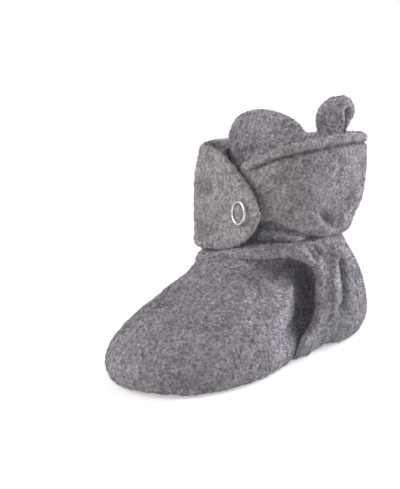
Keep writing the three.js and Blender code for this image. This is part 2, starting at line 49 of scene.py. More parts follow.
# Outer sections of the foot and shaft: back x, back z, front x, front z, half width, place of the
# widest point, front power, back power, waist and how much of the sole's lift the section takes.
upperSections = np.array([
    (-0.374, 0.017, 0.513, 0.010, 0.465, 0.62, 2.15, 2.6, 0.15, 1.0),   # seam
    (-0.408, 0.048, 0.524, 0.035, 0.480, 0.62, 2.15, 2.6, 0.16, 0.9),   # welt
    (-0.431, 0.113, 0.533, 0.098, 0.494, 0.61, 2.10, 2.6, 0.17, 0.5),   # bulge
    (-0.438, 0.194, 0.517, 0.163, 0.483, 0.60, 2.10, 2.5, 0.15, 0.2),   # side
    (-0.436, 0.275, 0.475, 0.225, 0.449, 0.58, 2.10, 2.4, 0.12, 0.0),   # cap
    (-0.421, 0.344, 0.408, 0.285, 0.413, 0.56, 2.10, 2.4, 0.09, 0.0),   # cap top
    (-0.397, 0.400, 0.322, 0.342, 0.385, 0.54, 2.10, 2.4, 0.05, 0.0),   # vamp
    (-0.369, 0.450, 0.225, 0.410, 0.363, 0.53, 2.15, 2.4, 0.02, 0.0),   # instep
    (-0.347, 0.490, 0.141, 0.472, 0.348, 0.52, 2.25, 2.4, 0.0, 0.0),    # shoulder
    (-0.336, 0.525, 0.080, 0.525, 0.337, 0.52, 2.40, 2.4, 0.0, 0.0),    # neck
    (-0.344, 0.580, 0.036, 0.593, 0.340, 0.52, 2.50, 2.4, 0.0, 0.0),    # ankle
    (-0.390, 0.675, 0.012, 0.682, 0.362, 0.52, 2.60, 2.4, 0.0, 0.0),    # shaft
    (-0.420, 0.800, 0.003, 0.807, 0.375, 0.52, 2.70, 2.4, 0.0, 0.0),    # shaft top
    (-0.427, 0.963, -0.002, 0.963, 0.378, 0.52, 2.70, 2.4, 0.0, 0.0),   # rim
])
rimRow = len(upperSections) - 1
lift = {"toeFrom": 46, "toeTo": 66, "toeRise": 1.5, "archFrom": -29, "archTo": -11, "archRise": 1.3,
        "heelFrom": 42, "heelTo": 56, "heelRise": 1.6}
waist = {"x": -10, "reach": 16}
lowTuck = {"share": 0.26, "x": -19, "reach": 27, "upTo": 3.4, "power": 1.5}   # the low rows at the arch

# The arch edge of the heel piece seen from the side, from under the sole up and forward: x, z.
archEdge = np.array([
    (0.006, -0.075), (0.008, 0.013), (0.010, 0.069), (-0.010, 0.120), (-0.054, 0.158),
    (-0.088, 0.220), (-0.107, 0.293), (-0.115, 0.348), (-0.112, 0.388), (-0.096, 0.428),
    (-0.062, 0.465), (-0.012, 0.4925), (0.066, 0.498), (0.120, 0.501), (0.147, 0.515),
    (0.178, 0.560), (0.542, 0.875),
])


def blendTable(table, at):
    last = len(table) - 1
    position = np.clip(at, 0, last)
    index = np.minimum(position.astype(int), last - 1)
    share = (position - index)[..., None]
    before, here = table[np.maximum(index - 1, 0)], table[index]
    after, later = table[index + 1], table[np.minimum(index + 2, last)]
    slopeHere, slopeAfter = (after - before) / 2, (later - here) / 2
    square, cube = share ** 2, share ** 3
    return (here * (2 * cube - 3 * square + 1) + slopeHere * (cube - 2 * square + share)
            + after * (3 * square - 2 * cube) + slopeAfter * (cube - square))


def alongTable(table, value):
    index = np.interp(value, table[:, 0], np.arange(len(table)))   # the first column is the key
    return blendTable(table, index)


def ease(value, start, end):
    share = np.clip((value - start) / (end - start), 0, 1)
    return share * share * (3 - 2 * share)


def soleLift(x):
    middle = (lift["archFrom"] + lift["archTo"]) / 2
    arch = ease(x, lift["archFrom"], middle) * (1 - ease(x, middle, lift["archTo"]))
    return (lift["toeRise"] * ease(x, lift["toeFrom"], lift["toeTo"]) + lift["archRise"] * arch
            + lift["heelRise"] * ease(-x, lift["heelFrom"], lift["heelTo"]))


def ovalPoint(angle, frontPower, backPower):
    ahead, across = np.cos(angle), np.sin(angle)
    power = np.where(ahead >= 0, frontPower, backPower)
    reach = (np.abs(ahead) ** power + np.abs(across) ** power) ** (-1 / power)
    return ahead * reach, across * reach


def upperPoint(row, angle):
    backX, backZ, frontX, frontZ, half, wide, frontPower, backPower, waistShare, follow = np.moveaxis(
        blendTable(upperSections, row), -1, 0)
    ahead, across = ovalPoint(angle, frontPower, backPower)
    share = np.where(ahead >= 0, wide + (1 - wide) * ahead, wide * (1 + ahead))
    x = (backX + (frontX - backX) * share) * shoe["length"]
    low = np.clip(1 - row / lowTuck["upTo"], 0, 1) ** lowTuck["power"]
    drawnIn = 1 - lowTuck["share"] * low * np.exp(-((x - lowTuck["x"]) / lowTuck["reach"]) ** 2)
    narrowing = 1 - waistShare * np.exp(-((x - waist["x"]) / waist["reach"]) ** 2)
    y = half * shoe["width"] * across * narrowing * drawnIn
    z = (backZ * (1 - share) + frontZ * share) * shoe["height"] + follow * soleLift(x)
    return np.stack([x, y, z], -1)


def unit(vectors):
    return vectors / np.maximum(np.linalg.norm(vectors, axis=-1, keepdims=True), 1e-9)


def upperNormal(row, angle, step=0.02):
    rise = upperPoint(np.minimum(row + step, rimRow), angle) - upperPoint(np.maximum(row - step, 0), angle)
    run = upperPoint(row, angle + step) - upperPoint(row, angle - step)
    return unit(np.cross(run, rise))


def pathDistance(points, path):
    nearest = np.full(points.shape[:-1], 1e9)
    share = np.zeros(points.shape[:-1])
    lengths = np.linalg.norm(np.diff(path, axis=0), axis=1)
    before = np.concatenate([[0], np.cumsum(lengths)]) / max(lengths.sum(), 1e-9)
    for index in range(len(path) - 1):
        start, leg = path[index], path[index + 1] - path[index]
        t = np.clip(((points - start) @ leg) / max(leg @ leg, 1e-9), 0, 1)
        distance = np.linalg.norm(points - (start + t[..., None] * leg), axis=-1)
        closer = distance < nearest
        nearest = np.where(closer, distance, nearest)
        share = np.where(closer, before[index] + t * (before[index + 1] - before[index]), share)
    return nearest, share


def foldLift(points, folds):
    total = np.zeros(points.shape[:-1])
    for fold in folds:
        distance, share = pathDistance(points, np.array(fold["path"]) * shares)
        fade = ease(np.minimum(share, 1 - share), -0.02, fold.get("fade", 0.3))
        total += fold["height"] * np.exp(-(distance / fold["width"]) ** 2) * fade
    return total


# Each corner of a cell gets a value from -1 to 1 by a hash, and the points between them a blend.
def softNoise(points, cell, seed):
    place = points / cell + seed * 7.31
    base = np.floor(place).astype(np.int64)
    part = place - base
    part = part * part * (3 - 2 * part)
    total = 0
    for corner in range(8):
        steps = np.array([corner & 1, corner >> 1 & 1, corner >> 2 & 1])
        key = ((base + steps) * np.array([73856093, 19349663, 83492791])).sum(-1)
        key = (key ^ (key >> 13)) * 1274126177
        value = ((key ^ (key >> 16)) & 0xFFFF) / 32767.5 - 1
        total = total + value * np.prod(np.where(steps == 1, part, 1 - part), axis=-1)
    return total


napCells = {"coarse": 2.6, "fine": 1.3}   # how wide the small bumps of the cloth are


def nap(points, seed, coarse=0.32, fine=0.2):
    return (coarse * softNoise(points, napCells["coarse"], seed)
            + fine * softNoise(points, napCells["fine"], seed + 3))


# The share of painted shade that a deep fold or trough gives: none where the cloth stands out, all of it at
# the deepest depth.
def paintedShadeShare(height, deepest=4.5):
    return np.clip(-height / deepest, 0, 1)


# Rows about a millimetre apart, counted along the edge where the edge runs across them.
def evenRows(rowValues, starts, count, alongEdge=25, betweenRows=4.4):
    along = np.abs(np.diff(starts)) * alongEdge + np.abs(np.diff(rowValues)) * betweenRows
    total = np.concatenate([[0], np.cumsum(along)])
    return np.interp(np.linspace(0, total[-1], count), total, rowValues)


def crowdedEnds(count):   # shares from 0 to 1 that stand closer together at both ends
    share = np.linspace(0, 1, count)
    return share * 0.5 + (1 - np.cos(share * math.pi)) / 4


def edgeRound(distance, radius):
    share = np.clip(distance / radius, 0, 1)
    return np.sqrt(1 - (1 - share) ** 2)


def borderDistance(points):
    borders = [points[0], points[-1], points[:, 0], points[:, -1]]
    return np.min([pathDistance(points, border)[0] for border in borders], axis=0)


# node trees: a socket given as an input is linked, any other value is set on the node
number = "NodeSocketFloat"


def newTree(name, kind, inputs, outputs):
    tree = bpy.data.node_groups.new(name, kind)
    for direction, sockets in (("INPUT", inputs), ("OUTPUT", outputs)):
        for label, socketKind, value in sockets:
            socket = tree.interface.new_socket(name=label, in_out=direction, socket_type=socketKind)
            if value is not None:
                socket.default_value = value
    return tree, tree.nodes.new("NodeGroupInput").outputs, tree.nodes.new("NodeGroupOutput").inputs


def addNode(tree, kind, inputs=None, **settings):
    node = tree.nodes.new(kind)
    for key, value in settings.items():
        setattr(node, key, value)
    for key, value in (inputs or {}).items():
        if isinstance(value, bpy.types.NodeSocket):
            tree.links.new(value, node.inputs[key])
        else:
            node.inputs[key].default_value = value
    return node


# materials
looks = {
    "clothClouds": 0.16, "clothBump": 0.0007, "printClump": 0.5, "printBump": 0.0002,
    "pileClump": 1.5, "pileTint": 0.35, "pileFleck": 0.65, "pileClouds": 0.42,
}
# For each pattern of the fleece: the size it follows, share of that size, detail, roughness, low, high.
napPatterns = {
    "Fleck": ("Clump size", 1.1, 3, 0.6, 0.36, 0.64),
    "Cloud": ("Cloud size", 1.0, 2, 0.5, 0.3, 0.7),
    "Pile": ("Clump size", 0.8, 4, 0.65, 0.2, 0.8),
}


def fleeceNapGroup():
    group, given, result = newTree(
        "fleeceNap", "ShaderNodeTree", [("Clump size", number, 1.0), ("Cloud size", number, 6.0)],
        [("Fleck", number, None), ("Cloud", number, None), ("Pile", number, None)])
    place = addNode(group, "ShaderNodeTexCoord").outputs["Object"]
    for pattern, (size, share, detail, roughness, low, high) in napPatterns.items():
        scale = addNode(group, "ShaderNodeMath", {0: 1000 / share, 1: given[size]}, operation="DIVIDE")
        noise = addNode(group, "ShaderNodeTexNoise", {
            "Vector": place, "Scale": scale.outputs[0], "Detail": detail, "Roughness": roughness})
        ramp = addNode(group, "ShaderNodeMapRange", {
            "Value": noise.outputs["Fac"], "From Min": low, "From Max": high})
        group.links.new(ramp.outputs["Result"], result[pattern])
    return group


# Painted shade: the colour is darkened towards Darkest where the attribute read below says a fold, trough or
# hem groove lies deep.
def foldShadeGroup():
    group, given, result = newTree(
        "foldShade", "ShaderNodeTree",
        [("Colour", "NodeSocketColor", (1, 1, 1, 1)), ("Darkest", number, 0.35)],
        [("Colour", "NodeSocketColor", None)])
    sunk = addNode(group, "ShaderNodeAttribute", attribute_name="sunk").outputs["Fac"]
    share = addNode(group, "ShaderNodeMapRange", {"Value": sunk, "To Min": 1.0, "To Max": given["Darkest"]})
    shaded = addNode(group, "ShaderNodeVectorMath", {
        0: given["Colour"], "Scale": share.outputs["Result"]}, operation="SCALE")
    group.links.new(shaded.outputs[0], result["Colour"])
    return group


napGroup, foldShade = fleeceNapGroup(), foldShadeGroup()


def newMaterial(name, values):
    material = bpy.data.materials.new(name)
    material.use_nodes = True
    shader = material.node_tree.nodes["Principled BSDF"]
    for key, value in values.items():
        shader.inputs[key].default_value = value
    return material, material.node_tree, shader


def napPattern(tree, clump):
    return addNode(tree, "ShaderNodeGroup", {"Clump size": clump}, node_tree=napGroup).outputs


def mixed(tree, factor, first, second, blend="MIX"):
    node = addNode(tree, "ShaderNodeMix", {"Factor": factor, "A": first, "B": second},
                   data_type="RGBA", blend_type=blend)
    return node.outputs["Result"]


def colourCloth(tree, shader, colour, pattern, cloudShare):   # clouds over the flecks, then painted shade in folds and hollows
    clouds = mixed(tree, cloudShare, colour, pattern["Cloud"], "MULTIPLY")
    shade = addNode(tree, "ShaderNodeGroup", {"Colour": clouds}, node_tree=foldShade)
    tree.links.new(shade.outputs["Colour"], shader.inputs["Base Color"])


def bumpCloth(tree, shader, pattern, strength, distance):
    bump = addNode(tree, "ShaderNodeBump", {
        "Strength": strength, "Distance": distance, "Height": pattern["Pile"]})
    tree.links.new(bump.outputs["Normal"], shader.inputs["Normal"])


def fleeceMaterial(name, dark, light, clump=1.0, depth=0.9):
    material, tree, shader = newMaterial(name, {
        "Roughness": 0.95, "Specular IOR Level": 0.15, "Sheen Weight": 0.25, "Sheen Roughness": 0.6})
    pattern = napPattern(tree, clump)
    flecks = mixed(tree, pattern["Fleck"], (*dark, 1), (*light, 1))
    colourCloth(tree, shader, flecks, pattern, looks["clothClouds"])
    bumpCloth(tree, shader, pattern, depth, looks["clothBump"])
    return material


def pileMaterial(name, dark, light):
    material, tree, shader = newMaterial(name, {"Roughness": 1.0, "Specular IOR Level": 0.1})
    tint = addNode(tree, "ShaderNodeAttribute", attribute_name="tint").outputs["Fac"]
    pattern = napPattern(tree, looks["pileClump"])
    fleck = addNode(tree, "ShaderNodeMath", {
        0: pattern["Fleck"], 1: looks["pileFleck"]}, operation="MULTIPLY").outputs[0]
    both = addNode(tree, "ShaderNodeMath", {
        0: tint, 1: looks["pileTint"], 2: fleck}, operation="MULTIPLY_ADD").outputs[0]
    tufts = mixed(tree, both, (*dark, 1), (*light, 1))
    colourCloth(tree, shader, tufts, pattern, looks["pileClouds"])
    return material


def plainMaterial(name, colour, roughness, metallic=0.0, grain=0.0):
    material, tree, shader = newMaterial(name, {
        "Base Color": (*colour, 1), "Roughness": roughness, "Metallic": metallic})
    if grain:
        bumpCloth(tree, shader, napPattern(tree, looks["printClump"]), grain, looks["printBump"])
    return material


cloths = {
    "pile": pileMaterial("fleece pile", (0.20, 0.186, 0.211), (0.93, 0.89, 0.955)),
    "flapPile": pileMaterial("fleece flap pile", (0.20, 0.186, 0.20), (0.90, 0.858, 0.90)),
    "fleece": fleeceMaterial("heather fleece", (0.22, 0.205, 0.231), (0.62, 0.592, 0.64)),
    "flap": fleeceMaterial("heather fleece flap", (0.24, 0.223, 0.237), (0.62, 0.59, 0.615)),
    # The sole's cloth is a darker grey than the upper's, and its colour is darkened further with painted
    # shade of the shoe's underside.
    "sole": fleeceMaterial("dark sole cloth with painted shade", (0.045, 0.043, 0.05), (0.13, 0.125, 0.14), 0.7, 0.5),
    "print": plainMaterial("silver grip print", (0.46, 0.455, 0.45), 0.7, 0, 0.4),
    "ring": plainMaterial("pale nickel", (0.86, 0.85, 0.82), 0.28, 1.0),
    "floor": plainMaterial("pale floor", (0.74, 0.74, 0.74), 0.9),
}
print("materials made")

# The pile: short leaning tufts that stand on a cloth where its "pile" attribute says so. Their lean is
# a sum of a swirl over the cloth, a stray of each tuft, the comb and the way out of the cloth.
pile = {
    "length": 0.85, "radius": 0.1, "perSquareMillimetre": 6.8, "clumpSize": 1.9, "seed": 11,
    "clumpGain": 3.2, "clumpShift": -0.9, "thinnest": 0.25, "shortest": 0.55, "longest": 1.25,
    "swirl": 4.8, "stray": 0.4, "comb": (0.25, 0.1, -0.35), "upright": 0.5,
}


def pileTree():
    tree, given, result = newTree(
        "fleecePile", "GeometryNodeTree",
        [("Geometry", "NodeSocketGeometry", None), ("Density", number, None), ("Tuft length", number, None),
         ("Tuft radius", number, None), ("Clump scale", number, None), ("Seed", "NodeSocketInt", None),
         ("Material", "NodeSocketMaterial", None)],
        [("Geometry", "NodeSocketGeometry", None)])

    def maths(operation, *values):
        return addNode(tree, "ShaderNodeMath", dict(enumerate(values)), operation=operation).outputs[0]

    def total(first, second):
        return addNode(tree, "ShaderNodeVectorMath", {0: first, 1: second}, operation="ADD").outputs[0]

    def scaled(vector, factor):
        return addNode(tree, "ShaderNodeVectorMath", {0: vector, "Scale": factor},
                       operation="SCALE").outputs[0]

    def randomValue(low, high, shift):   # a vector where low is one, or else a number
        kind, place, output = ("FLOAT_VECTOR", 0, 0) if isinstance(low, tuple) else ("FLOAT", 2, 1)
        node = addNode(tree, "FunctionNodeRandomValue", {
            place: low, place + 1: high, "Seed": maths("ADD", given["Seed"], shift)}, data_type=kind)
        return node.outputs[output]

    noise = addNode(tree, "ShaderNodeTexNoise", {"Scale": given["Clump scale"], "Detail": 2}).outputs
    where = addNode(tree, "GeometryNodeInputNamedAttribute", {"Name": "pile"}).outputs["Attribute"]
    clump = maths("MULTIPLY_ADD", noise["Fac"], pile["clumpGain"], pile["clumpShift"])
    density = maths("MULTIPLY", maths("MULTIPLY", given["Density"], where),
                    maths("MAXIMUM", clump, pile["thinnest"]))
    scatter = addNode(tree, "GeometryNodeDistributePointsOnFaces", {
        "Mesh": given["Geometry"], "Density": density, "Seed": given["Seed"]}).outputs
    tinted = addNode(tree, "GeometryNodeStoreNamedAttribute", {
        "Geometry": scatter["Points"], "Name": "tint", "Value": randomValue(0.0, 1.0, 3)},
        data_type="FLOAT", domain="POINT")
    swirl = total(noise["Color"], (-0.5, -0.5, -0.5))
    stray = randomValue((-1, -1, -1), (1, 1, 1), 5)
    lean = total(total(scaled(swirl, pile["swirl"]), scaled(stray, pile["stray"])), pile["comb"])
    lean = total(lean, scaled(scatter["Normal"], pile["upright"]))
    outward = addNode(tree, "ShaderNodeVectorMath", {0: lean, 1: scatter["Normal"]},
                      operation="DOT_PRODUCT").outputs["Value"]
    missing = maths("MAXIMUM", maths("SUBTRACT", pile["upright"], outward), 0.0)   # never into the cloth
    lean = total(lean, scaled(scatter["Normal"], missing))
    turned = addNode(tree, "FunctionNodeAlignRotationToVector", {"Vector": lean}, axis="Z")
    tuft = addNode(tree, "GeometryNodeMeshCone", {
        "Vertices": 3, "Radius Top": 0, "Radius Bottom": given["Tuft radius"],
        "Depth": given["Tuft length"]}, fill_type="NONE")
    plant = addNode(tree, "GeometryNodeInstanceOnPoints", {
        "Points": tinted.outputs["Geometry"], "Instance": tuft.outputs["Mesh"],
        "Rotation": turned.outputs["Rotation"], "Scale": randomValue(pile["shortest"], pile["longest"], 7)})
    real = addNode(tree, "GeometryNodeRealizeInstances", {"Geometry": plant.outputs["Instances"]})
    dressed = addNode(tree, "GeometryNodeSetMaterial", {
        "Geometry": real.outputs["Geometry"], "Material": given["Material"]})
    tree.links.new(dressed.outputs["Geometry"], result["Geometry"])
    return tree


fleecePile = pileTree()


def socketId(tree, name):
    return next(item.identifier for item in tree.interface.items_tree
                if item.name == name and item.in_out == "INPUT")


def addObject(name, data):
    item = bpy.data.objects.new(name, data)
    bpy.context.scene.collection.objects.link(item)
    return item


def growPile(name, cloth, material, share=1.0, seed=0):
    source = addObject(name + "Ground", cloth.data.copy())
    modifier = source.modifiers.new("pile", "NODES")
    modifier.node_group = fleecePile
    values = {"Density": pile["perSquareMillimetre"] * share / toMetres ** 2,
              "Tuft length": pile["length"] * toMetres, "Tuft radius": pile["radius"] * toMetres,
              "Clump scale": 1 / (pile["clumpSize"] * toMetres), "Seed": pile["seed"] + seed,
              "Material": material}
    for key, value in values.items():
        modifier[socketId(fleecePile, key)] = value
    grown = source.evaluated_get(bpy.context.evaluated_depsgraph_get())
    mesh = bpy.data.meshes.new_from_object(grown)
    source.modifiers.remove(modifier)
    bpy.data.objects.remove(source)
    mesh.name = name
    piece = addObject(name, mesh)
    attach(piece, "root")
    print(name, len(mesh.polygons), "faces")


def meshPiece(name, vertices, faces, layers, material, node, slot):
    mesh = bpy.data.meshes.new(name)
    mesh.from_pydata((np.asarray(vertices) * toMetres).tolist(), [], faces)
    for key, values in layers.items():
        layer = mesh.attributes.new(key, "FLOAT", "POINT")
        layer.data.foreach_set("value", np.asarray(values, np.float32))
    mesh.validate()
    mesh.shade_smooth()
    mesh.materials.append(material)
    piece = addObject(name, mesh)
    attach(piece, "root")
    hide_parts(node)
    return piece


# A cloth of two faces, outer and inner, that meet at its borders. In a joined row the first and the
# last column are the same line, so the cloth runs right round there.
# The outer face carries painted shade, one value per point; the inner face gets none.
def sheetSolid(outer, inner, joined, sunk, innerPile=0.0, hidden=None):
    rows, columns = outer.shape[:2]
    vertices, faces, layers = [], [], {"pile": [], "sunk": []}
    indices = []
    for grid, share in ((outer, 1.0), (inner, innerPile)):
        index = np.zeros((rows, columns), int)
        for row in range(rows):
            for column in range(columns):
                if joined[row] and column == columns - 1:
                    index[row, column] = index[row, 0]
                else:
                    index[row, column] = len(vertices)
                    vertices.append(grid[row, column])
                    layers["pile"].append(0.0 if hidden is not None and hidden[row, column] else share)
                    layers["sunk"].append(sunk[row, column] if grid is outer else 0.0)
        indices.append(index)
    top, under = indices

    def quad(*ring):
        kept = [index for place, index in enumerate(ring) if index != ring[place - 1]]
        if len(set(kept)) == len(kept) > 2:
            faces.append(kept)

    for row in range(rows - 1):
        for column in range(columns - 1):
            quad(top[row, column], top[row, column + 1], top[row + 1, column + 1], top[row + 1, column])
            quad(under[row, column], under[row + 1, column], under[row + 1, column + 1],
                 under[row, column + 1])
        if not (joined[row] and joined[row + 1]):
            last = columns - 1
            quad(top[row, 0], top[row + 1, 0], under[row + 1, 0], under[row, 0])
            quad(top[row, last], under[row, last], under[row + 1, last], top[row + 1, last])
    for column in range(columns - 1):
        last = rows - 1
        quad(top[0, column], under[0, column], under[0, column + 1], top[0, column + 1])
        quad(top[last, column], top[last, column + 1], under[last, column + 1], under[last, column])
    return vertices, faces, layers


archLine = blendTable(archEdge, np.linspace(0, len(archEdge) - 1, 400))
archLine = archLine * np.array([shoe["length"], shoe["height"]])


def edgeX(z):
    return np.interp(z, archLine[:, 1], archLine[:, 0])


# foot and shaft
foot = {
    "rows": 150, "columns": 320, "hiddenBehind": 1.5, "hiddenAbove": 56,   # no pile under other cloth
    "trough": {"depth": 6.2, "ahead": 3, "reach": 7.5, "fadeFrom": 5, "fadeTo": 16},
    # Painted shade, not a shape: a narrower trough at the arch edge that only darkens the colour.
    "troughShade": {"depth": 3.6, "ahead": 0.3, "reach": 4.6, "fadeFrom": 2, "fadeTo": 12},
    "throat": {"half": 13, "floor": 51, "round": 9},
    "folds": [
        {"path": [(0.032, 0.298, 0.49), (0.047, 0.310, 0.46), (0.068, 0.321, 0.42), (0.09, 0.335, 0.37)],
         "width": 2.6, "height": 2.0},
        {"path": [(0.010, 0.324, 0.48), (0.030, 0.337, 0.439), (0.053, 0.354, 0.398)],
         "width": 2.4, "height": -2.2},
        {"path": [(0.36, -0.12, 0.33), (0.28, -0.12, 0.38), (0.20, -0.12, 0.43)],
         "width": 9, "height": -1.2},
        {"path": [(0.03, 0.12, 0.62), (0.008, 0.205, 0.610), (-0.018, 0.273, 0.594), (-0.062, 0.321, 0.573),
                  (-0.11, 0.34, 0.565)], "width": 1.9, "height": 2.2},
    ],
}
# Where the trough along the arch edge closes: behind the edge, and at the top on the near and the far
# side. With the power it fades where the cloth doesn't face sideways.
troughEnds = {"behind": (1.6, 5.0), "nearTop": (38, 43), "farTop": (33, 38.5), "sidePower": 1.5}


def troughDepth(points, normals, trough):
    z = points[..., 2]
    line = np.stack([archLine[:, 0], np.zeros(len(archLine)), archLine[:, 1]], -1)[::6]
    distance = pathDistance(points * np.array([1, 0, 1]), line)[0]
    ahead = np.where(points[..., 0] > edgeX(z), distance, -distance)
    away = (ahead - trough["ahead"]) / trough["reach"]
    top = np.where(points[..., 1] > 0, ease(z, *troughEnds["nearTop"]), ease(z, *troughEnds["farTop"]))
    fade = ease(z, trough["fadeFrom"], trough["fadeTo"]) * (1 - ease(-ahead, *troughEnds["behind"]))
    sideways = np.abs(normals[..., 1]) ** troughEnds["sidePower"]
    return trough["depth"] * np.exp(-away ** 2) * sideways * fade * (1 - top)


def upperCloth(row, angle, offset, settings, folded=True):
    points, normals = upperPoint(row, angle), upperNormal(row, angle)
    height = offset - troughDepth(points, normals, settings["trough"])
    if folded:
        height = height + foldLift(points + normals * height[..., None], settings["folds"]) + nap(points, 1)
    return points + normals * height[..., None]


def notchAngle(rowValues, throat):
    angles = np.linspace(0, math.pi / 2, 200)
    starts = []
    for row in rowValues:
        points = upperPoint(np.full(angles.shape, row), angles)
        rise = np.clip((points[0, 2] - throat["floor"]) / throat["round"], 0, 1)
        half = throat["half"] * math.sqrt(rise * (2 - rise))
        starts.append(np.interp(half, points[:, 1], angles) if half > 0 else 0.0)
    return np.array(starts)


def makeFoot(settings):
    rowValues = np.linspace(0, rimRow, 500)
    rowValues = evenRows(rowValues, notchAngle(rowValues, settings["throat"]), settings["rows"])
    starts = notchAngle(rowValues, settings["throat"])
    shareAround = np.linspace(0, 1, settings["columns"])
    angle = starts[:, None] + (turn - 2 * starts[:, None]) * shareAround
    row = np.repeat(rowValues[:, None], settings["columns"], axis=1)
    outer = upperCloth(row, angle, 0, settings)
    inner = upperCloth(row, angle, -shoe["wall"], settings, False)
    hidden = outer[..., 0] < edgeX(outer[..., 2]) - settings["hiddenBehind"]
    hidden = hidden | (outer[..., 2] > settings["hiddenAbove"])
    # Painted shade along the arch edge and in the folds, passed to the materials by an attribute.
    shade = troughDepth(upperPoint(row, angle), upperNormal(row, angle), settings["troughShade"])
    sunk = np.maximum(paintedShadeShare(-shade), paintedShadeShare(foldLift(outer, settings["folds"])))
    return sheetSolid(outer, inner, starts <= 0, sunk, hidden=hidden)


upper = meshPiece("upperCloth", *makeFoot(foot), cloths["fleece"], "upper", "fleece_grey")
growPile("upperPile", upper, cloths["pile"], seed=1)
print("upper made")

# heel piece with the band over the instep
quarter = {
    "rows": 130, "columns": 250, "fromRow": 0.3, "thickness": 2.4, "edgeRadius": 2.4, "bottomRadius": 4,
    # The last value on the next line is the fold depth at which the painted shade is darkest.
    "cornerPuff": 0.25, "cornerReach": 9, "foldShadeAt": 3.8,
    "nearBand": {"puff": 0.8, "x": (-14, 2), "y": (-6, 8)},
    "farBand": {"puff": -1.9, "x": (-4, 6), "y": (-6, 6)},
    "folds": [
        {"path": [(-0.212, 0.355, 0.54), (-0.204, 0.372, 0.48), (-0.196, 0.386, 0.42), (-0.184, 0.398, 0.36),
                  (-0.176, 0.412, 0.30), (-0.169, 0.427, 0.244), (-0.165, 0.433, 0.176)],
         "width": 2.2, "height": 2.6, "fade": 0.25},
        {"path": [(-0.262, 0.322, 0.53), (-0.250, 0.352, 0.45), (-0.238, 0.370, 0.40), (-0.226, 0.390, 0.345),
                  (-0.213, 0.414, 0.281), (-0.208, 0.433, 0.214), (-0.212, 0.430, 0.12)],
         "width": 3.9, "height": -5.6, "fade": 0.5},
        {"path": [(-0.078, 0.372, 0.54), (-0.103, 0.387, 0.491), (-0.129, 0.394, 0.445)],
         "width": 1.1, "height": -1.3},
        {"path": [(-0.108, 0.375, 0.535), (-0.136, 0.387, 0.491), (-0.166, 0.387, 0.449)],
         "width": 1.1, "height": -1.4},
        {"path": [(-0.330, 0.335, 0.33), (-0.318, 0.365, 0.27), (-0.308, 0.395, 0.211)],
         "width": 2.4, "height": -1.0},
    ],
}
edgeFree = 3   # folds and small bumps fade out this near an edge
# The top row of the heel piece and its band, by turns from the toe.
quarterTop = np.array([(0, 8.95), (0.03, 9.0), (0.10, 9.5), (0.20, 9.57), (0.30, 9.55), (0.36, 9.25),
                       (0.44, 8.95), (0.6, 8.9), (0.85, 8.8), (0.95, 8.75), (1.0, 8.95)])


def makeQuarter(settings):
    def rowsAt(share, angles):
        top = alongTable(quarterTop, angles / turn)[..., 1]
        return settings["fromRow"] + (top - settings["fromRow"]) * share

    angles = np.linspace(0, math.pi, 1500)

    def startsAt(shareValues):   # the angle of the arch edge at each height
        starts = []
        for share in shareValues:
            points = upperPoint(rowsAt(share, angles), angles)
            inside = np.nonzero(points[:, 0] - edgeX(points[:, 2]) > 0)[0]
            starts.append(angles[inside[-1]] if len(inside) else 0.0)
        return np.array(starts)

    def bandPuff(band, side):
        return band["puff"] * ease(points[..., 0], *band["x"]) * ease(side * points[..., 1], *band["y"])

    spread, rowSpan = np.linspace(0, 1, 500), 9
    spread = evenRows(spread * rowSpan, startsAt(spread), settings["rows"]) / rowSpan
    starts = startsAt(spread)
    angle = starts[:, None] + (turn - 2 * starts[:, None]) * crowdedEnds(settings["columns"])
    row = rowsAt(spread[:, None], angle)
    points, normals = upperPoint(row, angle), upperNormal(row, angle)
    apart = starts > 0   # the rows that the arch edge cuts
    edges = (points[apart, 0], points[apart, -1], points[-1])
    distance = np.min([pathDistance(points, edge)[0] for edge in edges], axis=0)
    bottom = edgeRound(pathDistance(points, points[0])[0], settings["bottomRadius"])
    corner = np.minimum(*(np.linalg.norm(points - points[0, column], axis=-1) for column in (0, -1)))
    least = settings["cornerPuff"]
    puff = edgeRound(distance, settings["edgeRadius"]) * bottom
    puff = puff * (least + (1 - least) * ease(corner, 0, settings["cornerReach"]))
    band = bandPuff(settings["nearBand"], 1) + bandPuff(settings["farBand"], -1)
    height = shoe["gap"] + (settings["thickness"] + band) * puff
    folds = foldLift(points + normals * height[..., None], settings["folds"])
    height = height + (folds + nap(points, 2)) * ease(distance, 0, edgeFree)
    outer = points + normals * height[..., None]
    inner = points + normals * shoe["gap"]
    # Painted shade in the heel piece's folds.
    return sheetSolid(outer, inner, starts <= 0, paintedShadeShare(folds, settings["foldShadeAt"]))


heel = meshPiece("heelCloth", *makeQuarter(quarter), cloths["fleece"], "quarter", "fleece_grey")
growPile("heelPile", heel, cloths["pile"], seed=2)
print("heel piece made")

# ankle wrap: level sections (z, back x, front x, half width, front power, back power)
wrapSections = np.array([
    (0.475, -0.339, 0.119, 0.400, 3.1, 2.5), (0.525, -0.364, 0.114, 0.400, 3.2, 2.5),
    (0.575, -0.390, 0.105, 0.403, 3.4, 2.5), (0.625, -0.412, 0.098, 0.416, 3.5, 2.5),
    (0.700, -0.446, 0.088, 0.429, 3.6, 2.5), (0.850, -0.466, 0.076, 0.441, 3.4, 2.5),
    (1.000, -0.466, 0.060, 0.442, 2.7, 2.5), (1.125, -0.466, 0.052, 0.440, 2.5, 2.5),
])
